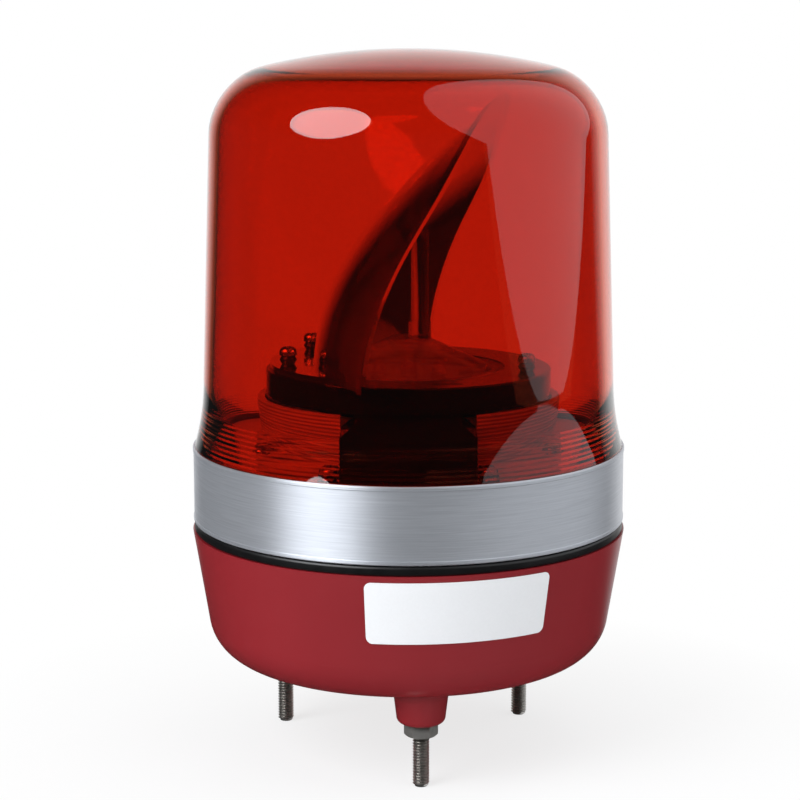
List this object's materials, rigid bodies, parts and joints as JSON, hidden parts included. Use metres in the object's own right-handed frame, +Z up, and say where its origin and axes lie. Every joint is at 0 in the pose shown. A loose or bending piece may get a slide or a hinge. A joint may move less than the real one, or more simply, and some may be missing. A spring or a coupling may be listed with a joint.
{
  "type": "rotating beacon",
  "caption": "Rotating warning beacon: red dome on an aluminium clamp band, turning reflector inside, tapered base on threaded fixings.",
  "frame": {"origin": "centre of the plane in which the three bosses of the base end, which is the top of the panel that carries the beacon", "axes": "+Z up through the crown of the dome; the front, with the label and one fixing, faces -Y; the beam leaves 10.6 degrees from +X towards the front at rest"},
  "size_m": [0.1064, 0.1064, 0.1722],
  "materials": {
    "red_housing": "semi-gloss moulded",
    "red_lens": "clear red, polished",
    "brushed_aluminium": "brushed round the band",
    "seal_rubber": "satin",
    "label_white": "matt film",
    "zinc_steel": "zinc plated",
    "chassis_plastic": "white moulded",
    "black_plastic": "fine texture",
    "motor_steel": "plated",
    "gear_plastic": "natural acetal",
    "heatsink_aluminium": "as extruded",
    "board_white": "solder mask",
    "emitter_clear": "clear silicone",
    "board_green": "solder mask",
    "terminal_green": "moulded",
    "capacitor_sleeve": "shrink sleeve",
    "coil_copper": "enamelled wire",
    "turntable_plastic": "polished black",
    "mirror_coat": "vacuum metallised",
    "clear_lens": "clear, polished"
  },
  "bodies": {
    "base": {"base_housing": "red_housing", "base_seal": "seal_rubber", "cable_grommet": "seal_rubber", "rating_label": "label_white", "fixing_studs": "zinc_steel", "fixing_nuts": "zinc_steel", "chassis": "chassis_plastic", "chassis_screws": "zinc_steel", "motor_cover": "black_plastic", "motor_cover_screws": "zinc_steel", "motor_can": "motor_steel", "motor_end_cap": "black_plastic", "motor_screws": "zinc_steel", "idler_pin": "zinc_steel", "idler_clip": "zinc_steel", "thrust_washer": "gear_plastic", "retaining_ring": "zinc_steel", "led_heatsink": "heatsink_aluminium", "led_board": "board_white", "led_emitters": "emitter_clear", "led_board_screws": "zinc_steel", "driver_board": "board_green", "driver_board_screws": "zinc_steel", "terminal_block": "terminal_green", "capacitors": "capacitor_sleeve", "inductor": "coil_copper"},
    "globe": {"globe_lens": "red_lens", "trim_band": "brushed_aluminium"},
    "rotor": {"turntable": "turntable_plastic", "ring_gear": "gear_plastic", "reflector": "mirror_coat", "condenser_lens": "clear_lens", "fixing_grommets": "seal_rubber", "fixing_screws": "zinc_steel", "balance_weight": "zinc_steel"},
    "idler": {"idler_gear": "gear_plastic"},
    "motor_rotor": {"motor_shaft": "zinc_steel", "motor_pinion": "gear_plastic"}
  },
  "joints": [
    {"name": "globe_twist", "type": "hinge", "parent": "base", "child": "globe", "pos_m": [0, 0, 0], "axis": [0, 0, 1], "range_deg": [0, 18]},
    {"name": "rotor_spin", "type": "hinge", "parent": "base", "child": "rotor", "pos_m": [0, 0, 0], "axis": [0, 0, 1], "continuous": true},
    {"name": "idler_spin", "type": "hinge", "parent": "base", "child": "idler", "pos_m": [-0.0058, -0.03147, 0], "axis": [0, 0, 1], "continuous": true},
    {"name": "motor_spin", "type": "hinge", "parent": "base", "child": "motor_rotor", "pos_m": [0.0047, -0.03147, 0], "axis": [0, 0, 1], "continuous": true}
  ],
  "couplings": [
    {"joint": "idler_spin", "follows": "rotor_spin", "ratio": -5.6667},
    {"joint": "motor_spin", "follows": "rotor_spin", "ratio": 14.167}
  ]
}
